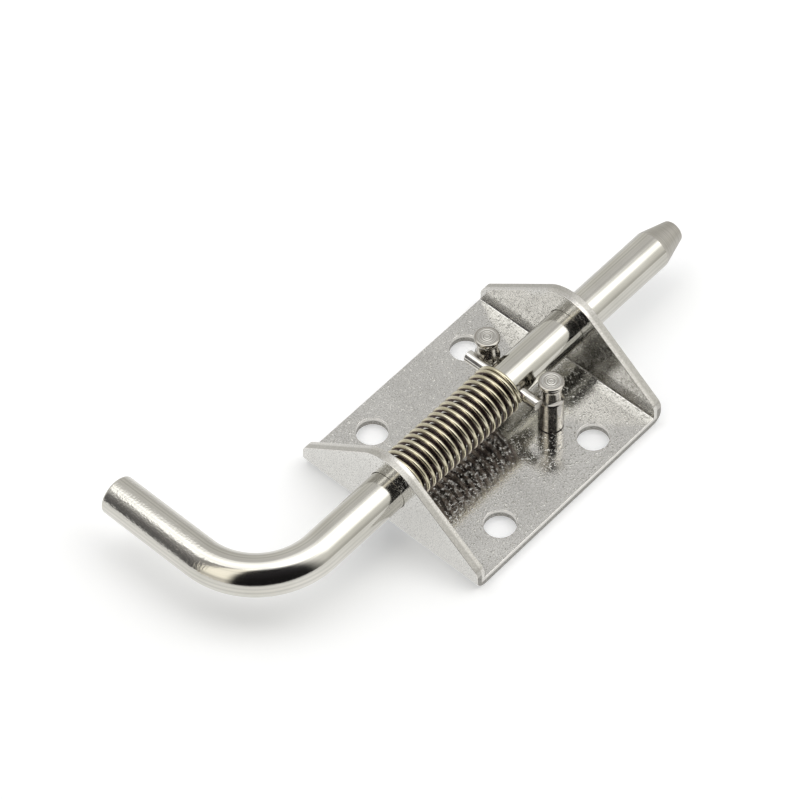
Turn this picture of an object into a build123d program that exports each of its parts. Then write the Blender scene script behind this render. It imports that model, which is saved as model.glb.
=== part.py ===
from build123d import *
from math import cos, pi, sin, sqrt
import os

# Spring bolt: a round bolt with a bent handle slides in a folded sheet bracket, pushed forward by a
# compression spring until its cross pin stands against two turned posts.
# X runs along the bolt towards its tip, Y towards the handle, Z up from the underside of the base.
# The origin is the centre of the base's underside. All sizes are in millimetres.

# Bracket, folded from one sheet
sheet = 2.0
base_width = 43.2
flange_gap = 47.5
fold_inner_radius = 0.3
flange_shoulder_height = 3.7
flange_corner_radius = 2.2
flange_top_radius = 8.6
screw_hole_diameter = 6.2
screw_spacing_x = 26.1
screw_spacing_y = 31.7

# Bolt, one bar bent at a right angle and turned to a cone at the tip
rod_diameter = 8.0
rod_height = 11.3
rod_clearance = 0.08
front_reach = 29.0
rear_reach = 17.8
bend_radius = 15.2
handle_length = 21.2
handle_edge_break = 0.5
cone_length = 6.3
tip_diameter = 4.5

# Stop posts, turned and riveted into the base on both sides of the bolt
post_diameter = 4.9
post_forward = 10.3
post_rod_gap = 1.4
post_above_rod_axis = 3.7
post_head_land = 0.7
post_head_break = 0.25
post_foot_break = 0.3
waist_length = 4.5
waist_depth = 0.45
rivet_diameter = 3.0
rivet_head_diameter = 4.2
rivet_head_angle = 90
rivet_clearance = 0.02

# Cross pin, pressed through the bolt a little off centre
pin_diameter = 2.2
pin_length = 17.5
pin_offset = 0.75
pin_edge_break = 0.15
pin_fit_clearance = 0.01
pin_post_clearance = 0.05

# Compression spring with closed ends, between the near flange and the pin
wire_diameter = 0.9
spring_rod_clearance = 0.27
spring_seat_clearance = 0.02
coil_turns = 18.5
closed_turns = 1.0
opening_turns = 0.5
closed_coil_gap = 0.03
wire_flats = 6
bends_per_turn = 20

# Places that follow from the sizes above
rod_radius = rod_diameter / 2
flange_inner_x = flange_gap / 2
flange_outer_x = flange_inner_x + sheet
fold_outer_radius = fold_inner_radius + sheet
flange_top = rod_height + flange_top_radius
tip_x = flange_outer_x + front_reach
bend_start_x = -flange_outer_x - rear_reach
post_radius = post_diameter / 2
post_y = rod_radius + post_rod_gap + post_radius
post_top = rod_height + post_above_rod_axis
pin_x = post_forward - post_radius - pin_post_clearance - pin_diameter / 2

# Bracket
# The side profile is the folded sheet; the flanges then take the rounded outline seen from the end.
with BuildPart() as bracket:
    with BuildSketch(Plane.XZ) as folded_section:
        with Locations((0, flange_top / 2)):
            Rectangle(2 * flange_outer_x, flange_top)
        fillet(folded_section.vertices().group_by(Axis.Y)[0], fold_outer_radius)
        with BuildSketch(Plane.XZ, mode=Mode.PRIVATE) as inside_section:
            with Locations((0, sheet + flange_top / 2)):
                Rectangle(flange_gap, flange_top)
            fillet(inside_section.vertices().group_by(Axis.Y)[0], fold_inner_radius)
        add(inside_section.sketch, mode=Mode.SUBTRACT)
    extrude(amount=base_width / 2, both=True)
    with BuildSketch(Plane.YZ) as flange_outline:
        with Locations((0, rod_height)):
            Circle(flange_top_radius)
        with Locations(
            (base_width / 2 - flange_corner_radius, flange_shoulder_height),
            (flange_corner_radius - base_width / 2, flange_shoulder_height),
        ):
            Circle(flange_corner_radius)
        with Locations((0, flange_shoulder_height / 2)):
            Rectangle(base_width, flange_shoulder_height)
        make_hull()
    extrude(amount=flange_outer_x, both=True, mode=Mode.INTERSECT)
    with BuildSketch(Plane.YZ) as rod_hole:
        with Locations((0, rod_height)):
            Circle(rod_radius + rod_clearance)
    extrude(amount=flange_outer_x, both=True, mode=Mode.SUBTRACT)
    with Locations((0, 0, sheet)):
        with GridLocations(screw_spacing_x, screw_spacing_y, 2, 2):
            Hole(screw_hole_diameter / 2, depth=sheet)
    with Locations(
        Plane(origin=(post_forward, post_y, 0), z_dir=(0, 0, -1)),
        Plane(origin=(post_forward, -post_y, 0), z_dir=(0, 0, -1)),
    ):
        CounterSinkHole(
            rivet_diameter / 2 + rivet_clearance,
            rivet_head_diameter / 2 + rivet_clearance,
            depth=sheet,
            counter_sink_angle=rivet_head_angle,
        )
bracket.part.label = "bracket"

# Bolt rod
# One bar follows the straight run, the bend and the handle.
with BuildPart() as bolt_rod:
    with BuildLine(Plane.XY.offset(rod_height)) as bar_line:
        straight = Line((tip_x, 0), (bend_start_x, 0))
        bend = JernArc(start=straight @ 1, tangent=straight % 1, radius=bend_radius, arc_size=-90)
        Line(bend @ 1, bend @ 1 + (bend % 1) * handle_length)
    with BuildSketch(Plane(origin=(tip_x, 0, rod_height), z_dir=(-1, 0, 0))) as bar_section:
        Circle(rod_radius)
    sweep()
    tip_face = bolt_rod.faces().sort_by(Axis.X)[-1]
    chamfer(tip_face.edges(), length=rod_radius - tip_diameter / 2, length2=cone_length, reference=tip_face)
    handle_face = bolt_rod.faces().sort_by(Axis.Y)[-1]
    chamfer(handle_face.edges(), length=handle_edge_break)
    with Locations(Plane(origin=(pin_x, 0, rod_height), z_dir=(0, 1, 0))):
        Hole(pin_diameter / 2 + pin_fit_clearance)
bolt_rod.part.label = "bolt_rod"

# Cross pin
with BuildPart() as cross_pin:
    with BuildSketch(Plane.XZ.offset(-pin_offset)) as pin_section:
        with Locations((pin_x, rod_height)):
            Circle(pin_diameter / 2)
    extrude(amount=pin_length / 2, both=True)
    chamfer(cross_pin.edges().filter_by(GeomType.CIRCLE), length=pin_edge_break)
cross_pin.part.label = "cross_pin"

# Spring
# The centre line winds round the bolt. Its pitch is closed at both ends and opens between them.
# Short straight bends and a section with a few flats keep the coil light. The section has the area of
# the round wire.
wire_corner_radius = wire_diameter / 2 * sqrt(2 * pi / (wire_flats * sin(2 * pi / wire_flats)))
coil_radius = rod_radius + spring_rod_clearance + wire_diameter / 2
coil_start_x = -flange_inner_x + spring_seat_clearance + wire_diameter / 2
coil_end_x = pin_x - pin_diameter / 2 - spring_seat_clearance - wire_diameter / 2
closed_pitch = wire_diameter + closed_coil_gap
open_turns = coil_turns - 2 * closed_turns - opening_turns
pitch_rise = (coil_end_x - coil_start_x - coil_turns * closed_pitch) / open_turns


def opened(turn):
    """How far the pitch has opened up to a turn, in turns of full opening."""
    along = min(max(turn - closed_turns, 0), opening_turns)
    return along**2 / (2 * opening_turns) + max(turn - closed_turns - opening_turns, 0)


def coil_point(turn):
    """Point of the wire's centre line after so many turns."""
    closing = opened(turn) - opened(turn - coil_turns + 2 * closed_turns + opening_turns)
    return (
        coil_start_x + closed_pitch * turn + pitch_rise * closing,
        coil_radius * cos(2 * pi * turn),
        rod_height + coil_radius * sin(2 * pi * turn),
    )


with BuildPart() as spring:
    with BuildLine() as coil_line:
        Polyline([coil_point(step / bends_per_turn) for step in range(int(coil_turns * bends_per_turn) + 1)])
    with BuildSketch(Plane(origin=coil_line.line @ 0, x_dir=(0, 1, 0), z_dir=coil_line.line % 0)) as wire_section:
        RegularPolygon(wire_corner_radius, wire_flats)
    sweep(transition=Transition.RIGHT)
spring.part.label = "spring"

# Stop post
# The turned profile is revolved; the rivet tail fills the countersunk hole under the base.
waist_top = post_top - post_head_land
waist_bottom = waist_top - waist_length
rivet_head_depth = (rivet_head_diameter - rivet_diameter) / 2
with BuildPart() as turned_post:
    with BuildSketch(Plane.XZ) as post_profile:
        with BuildLine() as post_outline:
            head = Polyline(
                (0, post_top),
                (post_radius - post_head_break, post_top),
                (post_radius, post_top - post_head_break),
                (post_radius, waist_top),
            )
            waist = ThreePointArc(
                (post_radius, waist_top),
                (post_radius - waist_depth, (waist_top + waist_bottom) / 2),
                (post_radius, waist_bottom),
            )
            Polyline(
                waist @ 1,
                (post_radius, sheet + post_foot_break),
                (post_radius - post_foot_break, sheet),
                (rivet_diameter / 2, sheet),
                (rivet_diameter / 2, rivet_head_depth),
                (rivet_head_diameter / 2, 0),
                (0, 0),
                (0, post_top),
            )
        make_face()
    revolve(axis=Axis.Z)

with BuildPart() as post_left:
    with Locations((post_forward, post_y, 0)):
        add(turned_post.part)
post_left.part.label = "post_left"

with BuildPart() as post_right:
    with Locations((post_forward, -post_y, 0)):
        add(turned_post.part)
post_right.part.label = "post_right"

os.makedirs("parts", exist_ok=True)
export_step(bracket.part, "parts/bracket.step")
export_step(bolt_rod.part, "parts/bolt_rod.step")
export_step(cross_pin.part, "parts/cross_pin.step")
export_step(spring.part, "parts/spring.step")
export_step(post_left.part, "parts/post_left.step")
export_step(post_right.part, "parts/post_right.step")
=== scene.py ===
from math import cos, pi, radians, sin, tau

import bmesh
import bpy
import numpy as np
from mathutils import Matrix, Vector


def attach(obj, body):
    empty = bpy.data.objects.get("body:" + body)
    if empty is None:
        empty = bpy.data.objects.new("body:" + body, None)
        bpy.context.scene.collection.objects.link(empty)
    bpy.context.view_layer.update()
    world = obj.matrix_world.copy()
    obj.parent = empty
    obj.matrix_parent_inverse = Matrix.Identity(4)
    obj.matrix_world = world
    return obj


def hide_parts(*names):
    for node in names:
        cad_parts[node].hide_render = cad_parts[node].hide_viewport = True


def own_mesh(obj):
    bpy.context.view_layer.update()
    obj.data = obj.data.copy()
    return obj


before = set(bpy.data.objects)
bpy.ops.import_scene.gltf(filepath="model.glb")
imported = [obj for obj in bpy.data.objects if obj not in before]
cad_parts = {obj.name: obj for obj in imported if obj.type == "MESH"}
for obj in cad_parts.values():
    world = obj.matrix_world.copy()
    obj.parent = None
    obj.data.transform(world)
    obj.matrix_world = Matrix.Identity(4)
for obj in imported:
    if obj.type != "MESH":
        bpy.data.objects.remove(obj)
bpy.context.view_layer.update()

# A spring bolt: a round bolt slides and turns in a folded sheet bracket, and a coil spring pushes
# it forward. Sizes are in millimetres and become metres where a mesh is made.
# X runs along the bolt towards its tip, Y towards the handle, Z up.
MM = 0.001


# Bracket
# One blank of 2 mm stainless sheet, punched with four screw holes and folded up at both ends.
# It was tumbled after folding, which leaves a fine grain on its faces and soft, bright arrises.
SHEET = 2.0
FLANGE_GAP = 47.5
ARRIS_WIDTH, ARRIS_SEGMENTS, ARRIS_FROM = 0.38, 3, radians(35)
FOLD_PULL, FOLD_LIFT, FOLD_CURVE = 2.1, 0.165, 1.5
GRAIN, DENT, WAVE, CLOUD, NICK, TEAR = 0.28, 0.55, 2.2, 7.0, 0.8, 0.3
BURNISHED_DEPTH, TORN_DEPTH, RAGGED = 0.9, 1.15, 0.5
SAME_POINT, SAME_PLANE, SAME_HEIGHT = 0.002, radians(0.5), 0.01
STANDING, CROSSWISE, LYING = 0.05, 0.2, 0.9
ROLLED, OUTLINE, SHADED_SHEAR, ARRIS = 0, 1, 2, 3


def linear(code):
    """Linear colour of an sRGB hex code."""
    parts = [int(code[i:i + 2], 16) / 255 for i in (1, 3, 5)]
    return [p / 12.92 if p <= 0.04045 else ((p + 0.055) / 1.055) ** 2.4 for p in parts] + [1.0]


def add(tree, kind, inputs=None, **settings):
    """Adds a node to a tree with its settings, and gives each input a value or a link."""
    made = tree.nodes.new(kind)
    for name, value in settings.items():
        setattr(made, name, value)
    for place, value in (inputs or {}).items():
        if isinstance(value, bpy.types.NodeSocket):
            tree.links.new(value, made.inputs[place])
        else:
            made.inputs[place].default_value = value
    return made


def metal(name, colour, roughness):
    """A bare metal's material with its node tree and its shader; its patterns are added after."""
    material = bpy.data.materials.new(name)
    material.use_nodes = True
    shader = material.node_tree.nodes["Principled BSDF"]
    shader.inputs["Base Color"].default_value = linear(colour)
    shader.inputs["Metallic"].default_value = 1.0
    shader.inputs["Roughness"].default_value = roughness
    return material, material.node_tree, shader


def ramp(tree, factor, stops):
    """Colour ramp through stops of (place, hex colour)."""
    made = add(tree, "ShaderNodeValToRGB", {"Fac": factor})
    while len(made.color_ramp.elements) < len(stops):
        made.color_ramp.elements.new(1.0)
    for element, (place, code) in zip(made.color_ramp.elements, stops):
        element.position = place
        element.color = linear(code)
    return made.outputs["Color"]


def tumbled_stainless():
    """Cold-rolled stainless sheet after tumbling: half mirror, half grain, so reflections are soft.
    Small dents from the tumbling stones catch the light as bright specks, and the press lifted the
    base a little beside each fold, where it mirrors the lamp as a bright strip. The grain and the
    dents are drawn coarser than real, so that they show."""
    material, tree, shader = metal("tumbled_stainless_sheet", "#DAD9D5", 0.09)
    place = add(tree, "ShaderNodeTexCoord").outputs["Object"]
    grain = add(tree, "ShaderNodeTexNoise",
                {"Vector": place, "Scale": 1 / (GRAIN * MM), "Detail": 1.0, "Roughness": 0.5})
    stones = add(tree, "ShaderNodeTexNoise",
                 {"Vector": place, "Scale": 1 / (DENT * MM), "Detail": 2.0, "Roughness": 0.7})
    rolled = add(tree, "ShaderNodeTexNoise",
                 {"Vector": place, "Scale": 1 / (WAVE * MM), "Detail": 1.0, "Roughness": 0.5})
    cloud = add(tree, "ShaderNodeTexNoise",
                {"Vector": place, "Scale": 1 / (CLOUD * MM), "Detail": 3.0, "Roughness": 0.55})
    tone = ramp(tree, cloud.outputs["Fac"], [(0.3, "#D5D4D0"), (0.7, "#DFDEDA")])
    flecks = ramp(tree, grain.outputs["Fac"], [(0.3, "#E4E4E4"), (0.6, "#FFFFFF")])
    colour = add(tree, "ShaderNodeMix", {0: 1.0, 6: tone, 7: flecks},
                 data_type="RGBA", blend_type="MULTIPLY")
    tree.links.new(colour.outputs[2], shader.inputs["Base Color"])
    gloss = add(tree, "ShaderNodeMapRange",
                {"Value": cloud.outputs["Fac"], "From Min": 0.3, "From Max": 0.7,
                 "To Min": 0.09, "To Max": 0.15})
    tree.links.new(gloss.outputs["Result"], shader.inputs["Roughness"])
    dents = add(tree, "ShaderNodeMapRange",
                {"Value": stones.outputs["Fac"], "From Min": 0.585, "From Max": 0.685})
    parts = add(tree, "ShaderNodeSeparateXYZ", {"Vector": place}).outputs
    outwards = add(tree, "ShaderNodeMath", {0: parts["X"]}, operation="ABSOLUTE").outputs[0]
    to_fold = add(tree, "ShaderNodeMapRange",
                  {"Value": outwards, "From Min": (FLANGE_GAP / 2 - FOLD_PULL) * MM,
                   "From Max": FLANGE_GAP / 2 * MM}).outputs["Result"]
    pulled = add(tree, "ShaderNodeMath", {0: to_fold, 1: FOLD_CURVE}, operation="POWER").outputs[0]
    lifted = add(tree, "ShaderNodeBump",
                 {"Height": pulled, "Strength": 1.0, "Distance": FOLD_LIFT * MM})
    waves = add(tree, "ShaderNodeBump",
                {"Height": rolled.outputs["Fac"], "Strength": 0.3, "Distance": 0.03 * MM,
                 "Normal": lifted.outputs["Normal"]})
    pits = add(tree, "ShaderNodeBump",
               {"Height": dents.outputs["Result"], "Strength": 1.0, "Distance": 0.065 * MM,
                "Normal": waves.outputs["Normal"]})
    fine = add(tree, "ShaderNodeBump",
               {"Height": grain.outputs["Fac"], "Strength": 0.6, "Distance": 0.02 * MM,
                "Normal": pits.outputs["Normal"]})
    tree.links.new(fine.outputs["Normal"], shader.inputs["Normal"])
    return material


def worn_arris():
    """The rounded edges, rubbed bright by the tumbling stones."""
    material, tree, shader = metal("tumbled_bright_arris", "#E4E2DE", 0.12)
    place = add(tree, "ShaderNodeTexCoord").outputs["Object"]
    nicks = add(tree, "ShaderNodeTexNoise",
                {"Vector": place, "Scale": 1 / (NICK * MM), "Detail": 3.0, "Roughness": 0.6})
    tone = ramp(tree, nicks.outputs["Fac"], [(0.35, "#CFCDC8"), (0.6, "#E8E6E2")])
    tree.links.new(tone, shader.inputs["Base Color"])
    uneven = add(tree, "ShaderNodeBump",
                 {"Height": nicks.outputs["Fac"], "Strength": 0.4, "Distance": 0.04 * MM})
    tree.links.new(uneven.outputs["Normal"], shader.inputs["Normal"])
    return material


def cut_edge(name, torn_dark, torn_light):
    """A cut edge of the sheet: the punch leaves it bright and smooth next to the face it enters,
    which is the inner face of the folded sheet, and tears it duller and rough beyond."""
    material, tree, shader = metal(name, torn_light, 0.3)
    place = add(tree, "ShaderNodeTexCoord").outputs["Object"]
    marks = add(tree, "ShaderNodeTexNoise",
                {"Vector": place, "Scale": 1 / (TEAR * MM), "Detail": 3.0, "Roughness": 0.65})
    parts = add(tree, "ShaderNodeSeparateXYZ", {"Vector": place}).outputs
    outwards = add(tree, "ShaderNodeMath", {0: parts["X"]}, operation="ABSOLUTE").outputs[0]
    in_flange = add(tree, "ShaderNodeMath", {0: outwards, 1: FLANGE_GAP / 2 * MM},
                    operation="SUBTRACT").outputs[0]
    in_base = add(tree, "ShaderNodeMath", {0: SHEET * MM, 1: parts["Z"]},
                  operation="SUBTRACT").outputs[0]
    depth = add(tree, "ShaderNodeMath", {0: in_flange, 1: in_base}, operation="MAXIMUM").outputs[0]
    ragged = add(tree, "ShaderNodeMath", {0: marks.outputs["Fac"], 1: RAGGED * MM, 2: depth},
                 operation="MULTIPLY_ADD").outputs[0]
    burnished = add(tree, "ShaderNodeMapRange",
                    {"Value": ragged, "From Min": TORN_DEPTH * MM,
                     "From Max": BURNISHED_DEPTH * MM}).outputs["Result"]
    torn = ramp(tree, marks.outputs["Fac"], [(0.35, torn_dark), (0.65, torn_light)])
    smooth = ramp(tree, marks.outputs["Fac"], [(0.35, "#C6C4BF"), (0.65, "#DEDCD7")])
    tone = add(tree, "ShaderNodeMix", {0: burnished, 6: torn, 7: smooth}, data_type="RGBA")
    tree.links.new(tone.outputs[2], shader.inputs["Base Color"])
    gloss = add(tree, "ShaderNodeMapRange", {"Value": burnished, "To Min": 0.45, "To Max": 0.26})
    tree.links.new(gloss.outputs["Result"], shader.inputs["Roughness"])
    rough = add(tree, "ShaderNodeBump",
                {"Height": marks.outputs["Fac"], "Strength": 0.7, "Distance": 0.03 * MM})
    tree.links.new(rough.outputs["Normal"], shader.inputs["Normal"])
    return material


def sheet_finish(face):
    """Which finish a face has: rolled, the outline and rod hole of a flange, or the sheared sides
    of the base and walls of its screw holes, painted darker as shade. A face's normal says how it
    stands."""
    normal, middle = face.normal, face.calc_center_median() / MM
    on_base = middle.z < SHEET + SAME_HEIGHT
    if on_base and abs(normal.z) < STANDING and abs(middle.x) < FLANGE_GAP / 2:
        return SHADED_SHEAR
    cut = abs(normal.x) < CROSSWISE and not (on_base and abs(normal.z) > LYING)
    return OUTLINE if cut else ROLLED


def show(name, mesh, body, nodes):
    """Puts a finished mesh in the scene as the piece that stands for some nodes of the frame."""
    piece = bpy.data.objects.new(name, mesh)
    bpy.context.scene.collection.objects.link(piece)
    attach(piece, body)
    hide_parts(*nodes)
    return piece


def evaluated_mesh(piece):
    """The mesh that a piece's modifiers make, with the modifiers taken off the piece."""
    graph = bpy.context.evaluated_depsgraph_get()
    mesh = bpy.data.meshes.new_from_object(piece.evaluated_get(graph))
    piece.modifiers.clear()
    return mesh


def folded_sheet():
    """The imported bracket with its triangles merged, cut edges marked and arrises rounded."""
    shape = bmesh.new()
    shape.from_mesh(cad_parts["bracket"].data)
    bmesh.ops.remove_doubles(shape, verts=shape.verts, dist=SAME_POINT * MM)
    bmesh.ops.dissolve_limit(shape, angle_limit=SAME_PLANE, verts=shape.verts, edges=shape.edges)
    shape.verts.index_update()
    points = [vert.co[:] for vert in shape.verts]
    faces = [[vert.index for vert in face.verts] for face in shape.faces]
    finish = [sheet_finish(face) for face in shape.faces]
    shape.free()
    mesh = bpy.data.meshes.new("folded_sheet")
    mesh.from_pydata(points, [], faces)
    mesh.polygons.foreach_set("material_index", finish)
    mesh.polygons.foreach_set("use_smooth", [True] * len(faces))
    for material in (tumbled_stainless(),
                     cut_edge("blanked_stainless_edge", "#B1AFA9", "#CCCAC5"),
                     # Painted shade: the screw hole walls and the base's sheared sides get the
                     # darker torn tone #6A6864.
                     cut_edge("sheared_edge_painted_shade", "#6A6864", "#B4B2AC"),
                     worn_arris()):
        mesh.materials.append(material)
    piece = bpy.data.objects.new("folded_sheet", mesh)
    bpy.context.scene.collection.objects.link(piece)
    rounding = piece.modifiers.new("arris", "BEVEL")
    rounding.width = ARRIS_WIDTH * MM
    rounding.segments = ARRIS_SEGMENTS
    rounding.material = ARRIS
    rounding.limit_method = "ANGLE"
    rounding.angle_limit = ARRIS_FROM
    shading = piece.modifiers.new("shading", "WEIGHTED_NORMAL")
    shading.weight = 100
    shading.keep_sharp = True
    finished = evaluated_mesh(piece)
    bpy.data.objects.remove(piece)
    return finished


show("bracket_sheet", folded_sheet(), "bracket_assembly", ["bracket"])


# Bolt
# One 8 mm bright bar, bent at a right angle for the handle and turned to a cone at the tip.
# The bar is polished to a mirror along its length; the cone and both ends keep the lathe's rings.
ROD_RADIUS = 4.0
ROD_HEIGHT = 11.3
TIP_X = 54.75
STRAIGHT = 98.3
BEND_RADIUS = 15.2
BEND_LENGTH = BEND_RADIUS * pi / 2
HANDLE = 21.2
CONE_LENGTH = 6.3
TIP_RADIUS = 2.25
TIP_BREAK = 0.3
HANDLE_BREAK = 0.5
BAR_COLUMNS, BEND_STEPS, ROUND_STEPS, HANDLE_ROUND_STEPS = 96, 48, 6, 8
SHARP_FROM = radians(14)
BAR_CLOUD, HAZE = 9.0, 0.4
POLISHED, TURNED = 0, 1


def quarter_turns(steps):
    """The angles that divide a quarter turn in so many steps, with both ends."""
    return [pi / 2 * k / steps for k in range(steps + 1)]


def corner(start, end):
    """Quarter round between two points of a profile, leaving the first one outwards."""
    return [(start[0] + (end[0] - start[0]) * (1 - cos(a)), start[1] + (end[1] - start[1]) * sin(a))
            for a in quarter_turns(ROUND_STEPS)[1:-1]]


def round_bar(name, stations, columns, finishes, seed):
    """Closed round body through stations of (centre, side, up, radius, finish), in millimetres.
    "along" keeps the length of the profile and "line" a value for each lengthwise line."""
    lines = np.random.default_rng(seed).random(columns)
    points, along, line, rows, length = [], [], [], [], 0.0
    last = None
    for centre, side, up, radius, _ in stations:
        edge = centre + side * radius
        length += (edge - last).length if last is not None else 0.0
        last = edge
        row = []
        for k in range(columns if radius > 0 else 1):
            angle = tau * k / columns
            points.append((centre + (side * cos(angle) + up * sin(angle)) * radius) * MM)
            along.append(length * MM)
            line.append(lines[k])
            row.append(len(points) - 1)
        rows.append(row)
    faces, finish = [], []
    for below, above, station in zip(rows, rows[1:], stations):
        for k in range(columns):
            after = (k + 1) % columns
            if len(below) == 1:
                faces.append((below[0], above[after], above[k]))
            elif len(above) == 1:
                faces.append((below[k], below[after], above[0]))
            else:
                faces.append((below[k], below[after], above[after], above[k]))
            finish.append(station[4])
    mesh = bpy.data.meshes.new(name)
    mesh.from_pydata(points, [], faces)
    mesh.attributes.new("along", "FLOAT", "POINT").data.foreach_set("value", along)
    mesh.attributes.new("line", "FLOAT", "POINT").data.foreach_set("value", line)
    for material in finishes:
        mesh.materials.append(material)
    mesh.polygons.foreach_set("material_index", finish)
    mesh.polygons.foreach_set("use_smooth", [True] * len(faces))
    mesh.set_sharp_from_angle(angle=SHARP_FROM)
    return mesh


def polished_bar():
    """Bright-drawn stainless bar after polishing: a near mirror with faint lines along the bar.
    Only the straight of the handle is left hazy, so the edges of its reflections break up. The
    lines and the haze are drawn coarser than real, so that they show."""
    material, tree, shader = metal("polished_stainless_bar", "#CFCDC6", 0.12)
    place = add(tree, "ShaderNodeTexCoord").outputs["Object"]
    cloud = add(tree, "ShaderNodeTexNoise",
                {"Vector": place, "Scale": 1 / (BAR_CLOUD * MM), "Detail": 3.0, "Roughness": 0.5})
    tone = ramp(tree, cloud.outputs["Fac"], [(0.3, "#C9C7BF"), (0.7, "#D5D3CC")])
    line = add(tree, "ShaderNodeAttribute", attribute_name="line").outputs["Fac"]
    streaks = ramp(tree, line, [(0.0, "#EBEBEB"), (0.6, "#FFFFFF")])
    colour = add(tree, "ShaderNodeMix", {0: 1.0, 6: tone, 7: streaks},
                 data_type="RGBA", blend_type="MULTIPLY")
    tree.links.new(colour.outputs[2], shader.inputs["Base Color"])
    gloss = add(tree, "ShaderNodeMapRange",
                {"Value": cloud.outputs["Fac"], "From Min": 0.35, "From Max": 0.65,
                 "To Min": 0.1, "To Max": 0.15})
    tree.links.new(gloss.outputs["Result"], shader.inputs["Roughness"])
    drawn = add(tree, "ShaderNodeBump", {"Height": line, "Strength": 0.5, "Distance": 0.01 * MM})
    along = add(tree, "ShaderNodeAttribute", attribute_name="along").outputs["Fac"]
    handled = add(tree, "ShaderNodeMapRange",
                  {"Value": along, "From Min": (STRAIGHT + BEND_LENGTH) * MM,
                   "From Max": (STRAIGHT + BEND_LENGTH + HANDLE / 2) * MM}).outputs["Result"]
    haze = add(tree, "ShaderNodeTexNoise",
               {"Vector": place, "Scale": 1 / (HAZE * MM), "Detail": 2.0, "Roughness": 0.6})
    fine = add(tree, "ShaderNodeBump",
               {"Height": haze.outputs["Fac"], "Strength": handled, "Distance": 0.055 * MM,
                "Normal": drawn.outputs["Normal"]})
    tree.links.new(fine.outputs["Normal"], shader.inputs["Normal"])
    return material


def turned_metal(name, colour, roughness, feed, depth):
    """Stainless left from the lathe: satin, with rings as far apart as the tool's feed."""
    material, tree, shader = metal(name, colour, roughness)
    along = add(tree, "ShaderNodeAttribute", attribute_name="along").outputs["Fac"]
    rings = add(tree, "ShaderNodeTexNoise",
                {"W": along, "Scale": 1 / (feed * MM), "Detail": 1.0}, noise_dimensions="1D")
    tone = ramp(tree, rings.outputs["Fac"], [(0.35, "#A9A69F"), (0.65, colour)])
    tree.links.new(tone, shader.inputs["Base Color"])
    grooves = add(tree, "ShaderNodeBump",
                  {"Height": rings.outputs["Fac"], "Strength": 0.6, "Distance": depth * MM})
    tree.links.new(grooves.outputs["Normal"], shader.inputs["Normal"])
    return material


def bar_place(length):
    """Centre and direction of the bar at a length from its tip."""
    if length <= STRAIGHT:
        return Vector((TIP_X - length, 0, ROD_HEIGHT)), Vector((-1, 0, 0))
    turn = min((length - STRAIGHT) / BEND_RADIUS, pi / 2)
    beyond = max(length - STRAIGHT - BEND_LENGTH, 0)
    direction = Vector((-cos(turn), sin(turn), 0))
    centre = Vector((TIP_X - STRAIGHT - BEND_RADIUS * sin(turn),
                     BEND_RADIUS * (1 - cos(turn)), ROD_HEIGHT))
    return centre + direction * beyond, direction


def bolt_bar():
    """The bar's mesh, from the face of the tip to the face of the handle."""
    whole = STRAIGHT + BEND_LENGTH + HANDLE
    inner = TIP_RADIUS - TIP_BREAK
    tip = [(0, 0, TURNED), (0, inner, TURNED)]
    tip += [(*p, TURNED) for p in corner((0, inner), (TIP_BREAK, TIP_RADIUS))]
    tip += [(TIP_BREAK, TIP_RADIUS + TIP_BREAK * (ROD_RADIUS - TIP_RADIUS) / CONE_LENGTH, TURNED)]
    tip += [(CONE_LENGTH, ROD_RADIUS, POLISHED)]
    bend = [(STRAIGHT + BEND_LENGTH * k / BEND_STEPS, ROD_RADIUS, POLISHED)
            for k in range(BEND_STEPS + 1)]
    rim = [(whole - HANDLE_BREAK * (1 - sin(a)), ROD_RADIUS - HANDLE_BREAK * (1 - cos(a)), POLISHED)
           for a in quarter_turns(HANDLE_ROUND_STEPS)]
    rim[-1] = (*rim[-1][:2], TURNED)
    stations = []
    for length, radius, finish in tip + bend + rim + [(whole, 0, TURNED)]:
        centre, direction = bar_place(length)
        side = Vector((0, 0, 1)).cross(direction)
        stations.append((centre, side, Vector((0, 0, 1)), radius, finish))
    finishes = [polished_bar(),
                turned_metal("turned_stainless_cone", "#C6C3BB", 0.32, feed=0.22, depth=0.01)]
    return round_bar("bolt_bar", stations, BAR_COLUMNS, finishes, seed=3)


show("bolt_bar", bolt_bar(), "bolt", ["bolt_rod"])


# Cross pin
# A short bright pin pressed through the bolt a little off centre, with broken edges at both ends.
# It holds the front of the spring and meets the two posts. It is drawn 2.4 mm thick, nearer to
# the real pin than the 2.2 mm solid, which is thin so that it turns clear of the posts.
PIN_X = 6.7
PIN_RADIUS = 1.2
PIN_BACK, PIN_FRONT = -8.0, 9.5
PIN_BREAK = 0.2
PIN_COLUMNS = 48
SHEEN = 1.5


def straight_stations(foot, direction, side, profile):
    """Stations of a straight round body from a profile of (height, radius, finish)."""
    return [(foot + direction * height, side, direction.cross(side), radius, finish)
            for height, radius, finish in profile]


def ground_pin():
    """Ground stainless pin: bright and plain, with a faint uneven sheen."""
    material, tree, shader = metal("ground_stainless_pin", "#DAD7D2", 0.14)
    place = add(tree, "ShaderNodeTexCoord").outputs["Object"]
    sheen = add(tree, "ShaderNodeTexNoise",
                {"Vector": place, "Scale": 1 / (SHEEN * MM), "Detail": 2.0, "Roughness": 0.5})
    tone = ramp(tree, sheen.outputs["Fac"], [(0.35, "#CFCCC6"), (0.65, "#DFDDD8")])
    tree.links.new(tone, shader.inputs["Base Color"])
    gloss = add(tree, "ShaderNodeMapRange",
                {"Value": sheen.outputs["Fac"], "From Min": 0.35, "From Max": 0.65,
                 "To Min": 0.12, "To Max": 0.2})
    tree.links.new(gloss.outputs["Result"], shader.inputs["Roughness"])
    return material


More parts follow.
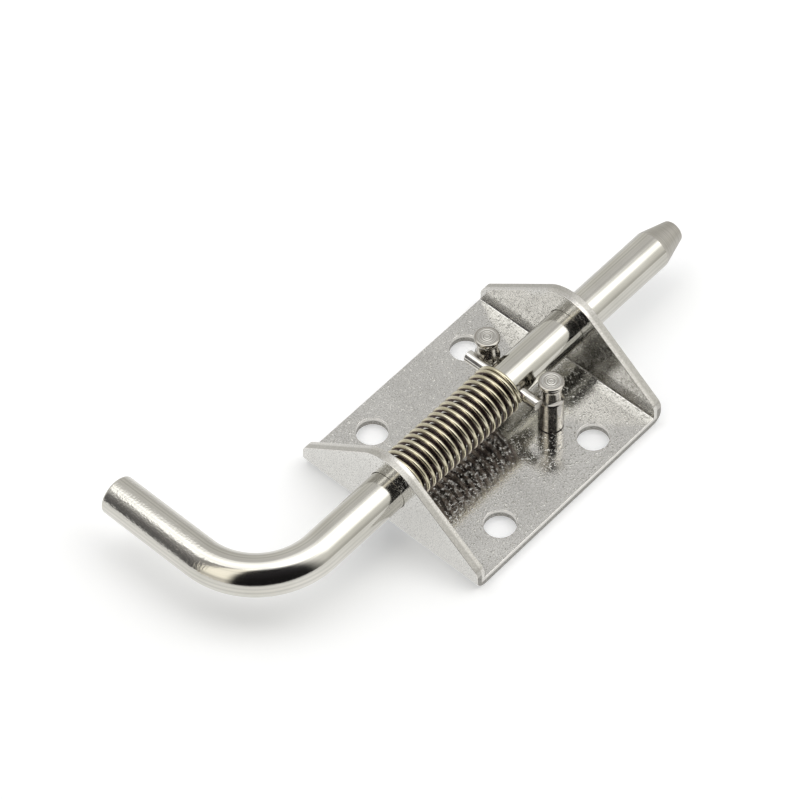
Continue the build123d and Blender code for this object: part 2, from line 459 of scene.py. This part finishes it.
def pressed_pin():
    """The pin's mesh, with a round on both rims."""
    long = PIN_FRONT - PIN_BACK
    inner = PIN_RADIUS - PIN_BREAK
    near = [(0, 0, TURNED), (0, inner, TURNED)]
    near += [(*p, POLISHED) for p in corner((0, inner), (PIN_BREAK, PIN_RADIUS))]
    near += [(PIN_BREAK, PIN_RADIUS, POLISHED)]
    far = [(long - height, radius, POLISHED) for height, radius, _ in reversed(near)]
    stations = straight_stations(Vector((PIN_X, PIN_BACK, ROD_HEIGHT)), Vector((0, 1, 0)),
                                 Vector((0, 0, 1)), near + far)
    finishes = [ground_pin(),
                turned_metal("cropped_pin_end", "#BDB9B2", 0.35, feed=0.25, depth=0.01)]
    return round_bar("cross_pin_bar", stations, PIN_COLUMNS, finishes, seed=5)


show("cross_pin_bar", pressed_pin(), "bolt", ["cross_pin"])


# Stop posts
# Two turned posts stand on the base on both sides of the bolt and stop the pin at their waists.
# Their tails go through the sheet and are riveted flush underneath. The heads show the rings of
# the lathe.
POST_X, POST_Y = 10.3, 7.85
POST_RADIUS = 2.45
POST_TOP = 15.0
POST_HEAD_LAND = 0.7
POST_HEAD_BREAK, POST_HEAD_DROP = 0.5, 0.3
POST_FOOT_BREAK = 0.3
WAIST_LENGTH, WAIST_DEPTH = 4.5, 0.45
WAIST_SQUARENESS = 3.5
POST_COLUMNS, WAIST_STEPS, RIM_STEPS, RING_STEPS = 64, 20, 7, 60
RIVET_RADIUS, RIVET_HEAD_RADIUS = 1.5, 2.1
RING_PITCH, RING_DEPTH, RING_FADE = 0.42, 0.03, 0.3
SHADOW_MOTTLE = 0.2
FOOT_SHADOW = 2


def post_profile():
    """Profile of (height, radius, finish) from the rivet's face to the centre of the head."""
    waist_top = POST_TOP - POST_HEAD_LAND
    rivet_depth = RIVET_HEAD_RADIUS - RIVET_RADIUS
    # The foot's break takes the painted contact shadow, a dark ring where the post meets the sheet.
    tail = [(0, 0, TURNED), (0, RIVET_HEAD_RADIUS, TURNED), (rivet_depth, RIVET_RADIUS, TURNED),
            (SHEET, RIVET_RADIUS, TURNED), (SHEET, POST_RADIUS - POST_FOOT_BREAK, FOOT_SHADOW),
            (SHEET + POST_FOOT_BREAK, POST_RADIUS, POLISHED)]
    waist = []
    for k in range(WAIST_STEPS + 1):
        share = k / WAIST_STEPS
        depth = WAIST_DEPTH * (1 - abs(2 * share - 1) ** WAIST_SQUARENESS)
        waist.append((waist_top - WAIST_LENGTH * (1 - share), POST_RADIUS - depth, POLISHED))
    rim = [(POST_TOP - POST_HEAD_DROP * (1 - sin(a)),
            POST_RADIUS - POST_HEAD_BREAK * (1 - cos(a)), POLISHED)
           for a in quarter_turns(RIM_STEPS)]
    rim[-1] = (*rim[-1][:2], TURNED)
    rings = []
    flat = POST_RADIUS - POST_HEAD_BREAK
    for k in range(1, RING_STEPS):
        radius = flat * (1 - k / RING_STEPS)
        fade = min((flat - radius) / RING_FADE, 1.0)
        rings.append((POST_TOP - RING_DEPTH * fade * (1 - cos(tau * radius / RING_PITCH)) / 2,
                      radius, TURNED))
    return tail + waist + rim + rings + [(POST_TOP, 0, TURNED)]


def painted_foot_shadow():
    """Painted contact shadow: a brown-black, dull ring in the corner at a post's foot."""
    material, tree, shader = metal("painted_foot_shadow_ring", "#2E2824", 0.6)
    shader.inputs["Metallic"].default_value = 0.0
    place = add(tree, "ShaderNodeTexCoord").outputs["Object"]
    mottle = add(tree, "ShaderNodeTexNoise",
                 {"Vector": place, "Scale": 1 / (SHADOW_MOTTLE * MM), "Detail": 2.0, "Roughness": 0.6})
    tone = ramp(tree, mottle.outputs["Fac"], [(0.35, "#1E1A18"), (0.65, "#463C35")])
    tree.links.new(tone, shader.inputs["Base Color"])
    return material


# The third finish is the painted contact shadow at each post's foot.
post_finishes = [turned_metal("turned_post_side", "#C2BEB8", 0.14, feed=0.35, depth=0.004),
                 turned_metal("turned_post_head", "#D0CFCA", 0.22, feed=0.2, depth=0.01),
                 painted_foot_shadow()]
for name, node, y in (("post_turned_left", "post_left", POST_Y),
                      ("post_turned_right", "post_right", -POST_Y)):
    stations = straight_stations(Vector((POST_X, y, 0)), Vector((0, 0, 1)), Vector((1, 0, 0)),
                                 post_profile())
    mesh = round_bar(name, stations, POST_COLUMNS, post_finishes, seed=7)
    show(name, mesh, "bracket_assembly", [node])


# Spring
# A compression spring of 0.9 mm stainless spring wire, coiled cold with closed ends.
# It sits round the bolt between the near flange and the pin and shortens as the bolt is drawn back.
WIRE_DIAMETER = 0.9
COIL_RADIUS = 4.72
COIL_START, COIL_END = -23.28, 5.04
COIL_TURNS = 18.5
CLOSED_TURNS, OPENING_TURNS = 1.0, 0.5
CLOSED_PITCH = 0.93
STEPS_PER_TURN, WIRE_SIDES = 48.0, 16
# Painted highlight and shade: how far out the wire's crown is painted light, and how far under the
# axis the coil's underside is painted darker.
LIT_CROWN_FROM, LIT_CROWN_FULLY = COIL_RADIUS - 0.08, COIL_RADIUS + 0.34
SHADED_UNDERSIDE_BELOW = -0.6 * COIL_RADIUS
FILM = 2.5


def coil_tree(material):
    """Geometry nodes that wind a wire round X, with a pitch that is closed at both ends."""
    tree = bpy.data.node_groups.new("closed_end_coil", "GeometryNodeTree")
    for name, kind in (("Turns", "NodeSocketFloat"), ("Steps per Turn", "NodeSocketFloat"),
                       ("Start", "NodeSocketFloat"), ("Coil Radius", "NodeSocketFloat"),
                       ("Axis Height", "NodeSocketFloat"), ("Closed Turns", "NodeSocketFloat"),
                       ("Opening Turns", "NodeSocketFloat"), ("Closed Pitch", "NodeSocketFloat"),
                       ("Open Pitch", "NodeSocketFloat"), ("Wire Radius", "NodeSocketFloat"),
                       ("Wire Sides", "NodeSocketInt"), ("Seed", "NodeSocketInt")):
        tree.interface.new_socket(name, in_out="INPUT", socket_type=kind)
    tree.interface.new_socket("Geometry", in_out="OUTPUT", socket_type="NodeSocketGeometry")
    given = add(tree, "NodeGroupInput").outputs
    count = add(tree, "ShaderNodeMath", {0: given["Turns"], 1: given["Steps per Turn"], 2: 1.0},
                operation="MULTIPLY_ADD").outputs[0]
    line = add(tree, "GeometryNodeCurvePrimitiveLine").outputs["Curve"]
    points = add(tree, "GeometryNodeResampleCurve",
                 {"Curve": line, "Count": count}).outputs["Curve"]
    index = add(tree, "GeometryNodeInputIndex").outputs["Index"]
    turn = add(tree, "ShaderNodeMath", {0: index, 1: given["Steps per Turn"]},
               operation="DIVIDE").outputs[0]
    left = add(tree, "ShaderNodeMath", {0: given["Turns"], 1: turn},
               operation="SUBTRACT").outputs[0]
    opened = add(tree, "ShaderNodeMath", {0: given["Closed Turns"], 1: given["Opening Turns"]},
                 operation="ADD").outputs[0]
    opening = [add(tree, "ShaderNodeMapRange",
                   {"Value": place, "From Min": given["Closed Turns"],
                    "From Max": opened}).outputs["Result"] for place in (turn, left)]
    share = add(tree, "ShaderNodeMath", {0: opening[0], 1: opening[1]},
                operation="MULTIPLY").outputs[0]
    pitch = add(tree, "ShaderNodeMapRange",
                {"Value": share, "To Min": given["Closed Pitch"],
                 "To Max": given["Open Pitch"]}).outputs["Result"]
    advance = add(tree, "ShaderNodeMath", {0: pitch, 1: given["Steps per Turn"]},
                  operation="DIVIDE").outputs[0]
    travelled = add(tree, "GeometryNodeAccumulateField", {"Value": advance}).outputs["Trailing"]
    x = add(tree, "ShaderNodeMath", {0: travelled, 1: given["Start"]}, operation="ADD").outputs[0]
    angle = add(tree, "ShaderNodeMath", {0: turn, 1: tau}, operation="MULTIPLY").outputs[0]
    across = add(tree, "ShaderNodeMath", {0: angle}, operation="COSINE").outputs[0]
    above = add(tree, "ShaderNodeMath", {0: angle}, operation="SINE").outputs[0]
    y = add(tree, "ShaderNodeMath", {0: across, 1: given["Coil Radius"]},
            operation="MULTIPLY").outputs[0]
    z = add(tree, "ShaderNodeMath", {0: above, 1: given["Coil Radius"], 2: given["Axis Height"]},
            operation="MULTIPLY_ADD").outputs[0]
    place = add(tree, "ShaderNodeCombineXYZ", {"X": x, "Y": y, "Z": z}).outputs["Vector"]
    wound = add(tree, "GeometryNodeSetPosition",
                {"Geometry": points, "Position": place}).outputs["Geometry"]
    section = add(tree, "GeometryNodeCurvePrimitiveCircle",
                  {"Resolution": given["Wire Sides"], "Radius": given["Wire Radius"]},
                  mode="RADIUS").outputs["Curve"]
    chance = add(tree, "FunctionNodeRandomValue", {"Seed": given["Seed"]},
                 data_type="FLOAT").outputs[1]
    marked = add(tree, "GeometryNodeStoreNamedAttribute",
                 {"Geometry": section, "Name": "line", "Value": chance},
                 data_type="FLOAT", domain="POINT").outputs["Geometry"]
    wire = add(tree, "GeometryNodeCurveToMesh",
               {"Curve": wound, "Profile Curve": marked, "Fill Caps": True}).outputs["Mesh"]
    smooth = add(tree, "GeometryNodeSetShadeSmooth", {"Geometry": wire}).outputs["Geometry"]
    real = add(tree, "GeometryNodeRealizeInstances", {"Geometry": smooth}).outputs["Geometry"]
    coated = add(tree, "GeometryNodeSetMaterial",
                 {"Geometry": real, "Material": material}).outputs["Geometry"]
    add(tree, "NodeGroupOutput", {"Geometry": coated})
    return tree


def spring_wire():
    """Cold-drawn stainless spring wire with lines of the die along it, drawn coarser than real. The
    outer crown of each turn is painted lighter, a painted highlight, in a thin yellowish film tone;
    its flanks and the underside of the coil are painted dark purple-grey as painted shade."""
    material, tree, shader = metal("drawn_spring_wire", "#CFC9B1", 0.25)
    line = add(tree, "ShaderNodeAttribute", attribute_name="line").outputs["Fac"]
    place = add(tree, "ShaderNodeTexCoord").outputs["Object"]
    film = add(tree, "ShaderNodeTexNoise",
               {"Vector": place, "Scale": 1 / (FILM * MM), "Detail": 2.0, "Roughness": 0.5})
    lit_film = ramp(tree, film.outputs["Fac"], [(0.35, "#C9C2A8"), (0.65, "#D7D1BB")])
    from_axis = add(tree, "ShaderNodeVectorMath", {0: place, 1: (0, 0, ROD_HEIGHT * MM)},
                    operation="SUBTRACT").outputs[0]
    across = add(tree, "ShaderNodeVectorMath", {0: from_axis, 1: (0, 1, 1)},
                 operation="MULTIPLY").outputs[0]
    distance = add(tree, "ShaderNodeVectorMath", {0: across}, operation="LENGTH").outputs["Value"]
    # Painted highlight: the wire's crown, furthest from the coil's axis, is painted lighter.
    crown = add(tree, "ShaderNodeMapRange",
                {"Value": distance, "From Min": LIT_CROWN_FROM * MM,
                 "From Max": LIT_CROWN_FULLY * MM}).outputs["Result"]
    height = add(tree, "ShaderNodeSeparateXYZ", {"Vector": across}).outputs["Z"]
    # Painted shade: under the axis the crown is painted less light, so the coil's underside is
    # darker.
    lit_share = add(tree, "ShaderNodeMapRange",
                  {"Value": height, "From Min": SHADED_UNDERSIDE_BELOW * MM, "From Max": 0.0,
                   "To Min": 0.35, "To Max": 1.0}).outputs["Result"]
    crown = add(tree, "ShaderNodeMath", {0: crown, 1: lit_share}, operation="MULTIPLY").outputs[0]
    # Painted shade: the flanks between the turns and the underside take the dark purple-grey
    # #86757B.
    tone = add(tree, "ShaderNodeMix", {0: crown, 6: linear("#86757B"), 7: lit_film},
               data_type="RGBA").outputs[2]
    tree.links.new(tone, shader.inputs["Base Color"])
    gloss = add(tree, "ShaderNodeMapRange", {"Value": crown, "To Min": 0.4, "To Max": 0.24})
    tree.links.new(gloss.outputs["Result"], shader.inputs["Roughness"])
    drawn = add(tree, "ShaderNodeBump", {"Height": line, "Strength": 0.4, "Distance": 0.006 * MM})
    tree.links.new(drawn.outputs["Normal"], shader.inputs["Normal"])
    return material


def wound_spring():
    """The spring's mesh."""
    tree = coil_tree(spring_wire())
    piece = bpy.data.objects.new("winding", bpy.data.meshes.new("winding"))
    bpy.context.scene.collection.objects.link(piece)
    winding = piece.modifiers.new("winding", "NODES")
    winding.node_group = tree
    rise = COIL_END - COIL_START - COIL_TURNS * CLOSED_PITCH
    open_pitch = CLOSED_PITCH + rise / (COIL_TURNS - 2 * CLOSED_TURNS - OPENING_TURNS)
    sizes = {"Turns": COIL_TURNS, "Steps per Turn": STEPS_PER_TURN, "Start": COIL_START * MM,
             "Coil Radius": COIL_RADIUS * MM, "Axis Height": ROD_HEIGHT * MM,
             "Closed Turns": CLOSED_TURNS, "Opening Turns": OPENING_TURNS,
             "Closed Pitch": CLOSED_PITCH * MM, "Open Pitch": open_pitch * MM,
             "Wire Radius": WIRE_DIAMETER / 2 * MM, "Wire Sides": WIRE_SIDES, "Seed": 11}
    for item in tree.interface.items_tree:
        if item.in_out == "INPUT":
            winding[item.identifier] = sizes[item.name]
    mesh = evaluated_mesh(piece)
    bpy.data.objects.remove(piece)
    return mesh


spring = show("wound_spring", wound_spring(), "bracket_assembly", ["spring"])
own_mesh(spring)


# Studio
# A sheet of white paper under a wide softbox, in a pale room that is dark behind the camera.
# The paper is white to the eye but for the bolt's shadow, and pale to the metal.
# Sizes are in metres here.
PAPER_SIZE, PAPER_DROP = 0.42, 0.0001
PAPER_LIFT = 0.2
FAR_SIDE = (0.74, 0.67, 0.0)
NEAR_GLOW, FAR_GLOW = 0.72, 0.36
LAMP_LAYERS, LAYER_GAP, LAYER_TURN = 4, 0.004, radians(3.0)
LAMP_TURN, LAMP_HEIGHT, LAMP_RADIANCE = radians(-49.5), 0.4, 0.32
LAMP_EDGES = (-0.36, 0.34, -0.062, 0.12)
LAMP_WIDENING = (-0.05, 0.24, -0.05, 0.1)
ROOM_LEVEL = 1.6


def paper():
    """Matt white paper: white to the eye but for the shadow. In a mirror it is evenly bright near
    the object and falls off towards the far side."""
    material = bpy.data.materials.new("white_paper")
    material.use_nodes = True
    tree = material.node_tree
    tree.nodes.clear()
    seen = add(tree, "ShaderNodeLightPath").outputs
    matt = add(tree, "ShaderNodeBsdfDiffuse", {"Color": linear("#E6E6E6")}).outputs[0]
    bright = add(tree, "ShaderNodeBsdfDiffuse", {"Color": linear("#FDFDFD")}).outputs[0]
    lift = add(tree, "ShaderNodeEmission",
               {"Color": linear("#F1F7FF"), "Strength": PAPER_LIFT}).outputs[0]
    to_eye = add(tree, "ShaderNodeAddShader", {0: bright, 1: lift}).outputs[0]
    soft = add(tree, "ShaderNodeBsdfDiffuse", {"Color": linear("#A4A4A4")}).outputs[0]
    place = add(tree, "ShaderNodeTexCoord").outputs["Object"]
    far = add(tree, "ShaderNodeVectorMath", {0: place, 1: FAR_SIDE},
              operation="DOT_PRODUCT").outputs["Value"]
    level = add(tree, "ShaderNodeMapRange",
                {"Value": far, "From Min": -0.01, "From Max": 0.11,
                 "To Min": NEAR_GLOW, "To Max": FAR_GLOW}).outputs["Result"]
    glow = add(tree, "ShaderNodeEmission", {"Color": (1, 1, 1, 1), "Strength": level}).outputs[0]
    to_mirror = add(tree, "ShaderNodeAddShader", {0: soft, 1: glow}).outputs[0]
    mirrored = add(tree, "ShaderNodeMath",
                   {0: seen["Is Glossy Ray"], 1: seen["Is Transmission Ray"]},
                   operation="ADD", use_clamp=True).outputs[0]
    lit = add(tree, "ShaderNodeMixShader",
              {0: seen["Is Camera Ray"], 1: matt, 2: to_eye}).outputs[0]
    mixed = add(tree, "ShaderNodeMixShader", {0: mirrored, 1: lit, 2: to_mirror}).outputs[0]
    add(tree, "ShaderNodeOutputMaterial", {"Surface": mixed})
    return material


half = PAPER_SIZE / 2
paper_mesh = bpy.data.meshes.new("paper")
corners = [(-half, -half), (half, -half), (half, half), (-half, half)]
paper_mesh.from_pydata([(*corner_place, -PAPER_DROP) for corner_place in corners], [],
                       [(0, 1, 2, 3)])
paper_mesh.materials.append(paper())
floor = bpy.data.objects.new("floor", paper_mesh)
bpy.context.scene.collection.objects.link(floor)

# A softbox's cloth is brightest in the middle and falls off towards its rim: stacked sheets of
# light, each wider than the one below. They hang apart, since a mirror shows only one of two lamps
# in the same plane. Their edges are given as left, right, near and far.
for layer in range(LAMP_LAYERS):
    share = layer / (LAMP_LAYERS - 1)
    left, right, near, beyond = (edge + more * share
                                 for edge, more in zip(LAMP_EDGES, LAMP_WIDENING))
    long, deep = right - left, beyond - near
    lamp = bpy.data.lights.new(f"softbox_layer_{layer}", "AREA")
    lamp.shape = "RECTANGLE"
    lamp.size, lamp.size_y = long, deep
    lamp.energy = LAMP_RADIANCE * pi * long * deep
    turn = LAMP_TURN - LAYER_TURN * layer
    place = Vector(((left + right) / 2, (near + beyond) / 2, LAMP_HEIGHT + LAYER_GAP * layer))
    box = bpy.data.objects.new(f"softbox_layer_{layer}", lamp)
    box.location = Matrix.Rotation(turn, 3, "Z") @ place
    box.rotation_euler = (0, 0, turn)
    box.visible_camera = False
    bpy.context.scene.collection.objects.link(box)


def studio_room():
    """The room round the table as the metal mirrors it, white to the camera. Its compass is the
    share of a full turn from +X through +Y: pale walls, a doorway, a window, and dark behind the
    camera. The walls change with height, so each height has a ramp."""
    world = bpy.data.worlds.new("studio_room")
    bpy.context.scene.world = world
    world.use_nodes = True
    tree = world.node_tree
    tree.nodes.clear()
    direction = add(tree, "ShaderNodeTexCoord").outputs["Generated"]
    parts = add(tree, "ShaderNodeSeparateXYZ", {"Vector": direction}).outputs
    back = [add(tree, "ShaderNodeMath", {0: parts[axis], 1: -1.0}, operation="MULTIPLY").outputs[0]
            for axis in ("X", "Y")]
    angle = add(tree, "ShaderNodeMath", {0: back[1], 1: back[0]}, operation="ARCTAN2").outputs[0]
    compass = add(tree, "ShaderNodeMath", {0: angle, 1: 1 / tau, 2: 0.5},
                  operation="MULTIPLY_ADD").outputs[0]
    low = ramp(tree, compass, [(0.0, "#BCBBBA"), (0.08, "#AEADAA"), (0.17, "#BAB9B5"),
                               (0.3, "#B1B0AC"), (0.365, "#989694"), (0.38, "#504F50"),
                               (0.452, "#504F50"), (0.468, "#BEBAB2"), (0.53, "#BEBAB2"),
                               (0.552, "#161516"), (0.75, "#161516"), (0.79, "#ACABA7"),
                               (0.86, "#B1B0AC"), (1.0, "#BCBBBA")])
    middle = ramp(tree, compass, [(0.0, "#BCBBBA"), (0.08, "#AAA9A6"), (0.17, "#B4B3B0"),
                                  (0.3, "#B1B0AE"), (0.365, "#989694"), (0.38, "#5A595A"),
                                  (0.452, "#5E5C5C"), (0.468, "#F8F3E6"), (0.53, "#F8F3E6"),
                                  (0.552, "#161516"), (0.75, "#161516"), (0.79, "#C4C3BF"),
                                  (0.86, "#CCCBC7"), (1.0, "#BCBBBA")])
    high = ramp(tree, compass, [(0.0, "#BCBBBA"), (0.08, "#B1B0AF"), (0.17, "#B1B0AF"),
                                (0.3, "#B1B0AE"), (0.365, "#A4A3A1"), (0.38, "#8A8888"),
                                (0.452, "#8E8C8A"), (0.468, "#F4EFE4"), (0.53, "#F4EFE4"),
                                (0.552, "#1C1B1D"), (0.75, "#1C1B1D"), (0.79, "#CFCECA"),
                                (0.86, "#D8D7D4"), (1.0, "#BCBBBA")])
    rise = add(tree, "ShaderNodeMapRange",
               {"Value": parts["Z"], "From Min": 0.12, "From Max": 0.4}).outputs["Result"]
    lower = add(tree, "ShaderNodeMix", {0: rise, 6: low, 7: middle}, data_type="RGBA").outputs[2]
    crown = add(tree, "ShaderNodeMapRange",
                {"Value": parts["Z"], "From Min": 0.5, "From Max": 0.75}).outputs["Result"]
    walls = add(tree, "ShaderNodeMix", {0: crown, 6: lower, 7: high}, data_type="RGBA").outputs[2]
    room = add(tree, "ShaderNodeBackground", {"Color": walls, "Strength": ROOM_LEVEL}).outputs[0]
    white = add(tree, "ShaderNodeBackground", {"Color": (1, 1, 1, 1), "Strength": 1.0}).outputs[0]
    seen = add(tree, "ShaderNodeLightPath").outputs["Is Camera Ray"]
    mixed = add(tree, "ShaderNodeMixShader", {0: seen, 1: room, 2: white}).outputs[0]
    add(tree, "ShaderNodeOutputWorld", {"Surface": mixed})


studio_room()

# The camera stands where the photograph's did, as fitted to the object's corners and holes.
lens = bpy.data.cameras.new("camera")
lens.sensor_width = 36.0
lens.lens = 168.14
lens.clip_start, lens.clip_end = 0.01, 20.0
camera = bpy.data.objects.new("camera", lens)
stand = Vector((-0.303848, -0.275697, 0.561565))
right = Vector((0.67286559, -0.73929882, -0.02625162))
upward = Vector((0.60289704, 0.52746608, 0.59857722))
backward = right.cross(upward)
camera.matrix_world = Matrix.Translation(stand) @ Matrix(
    (right, upward, backward)).transposed().to_4x4()
bpy.context.scene.collection.objects.link(camera)
bpy.context.scene.camera = camera
bpy.context.scene.view_settings.view_transform = "Standard"
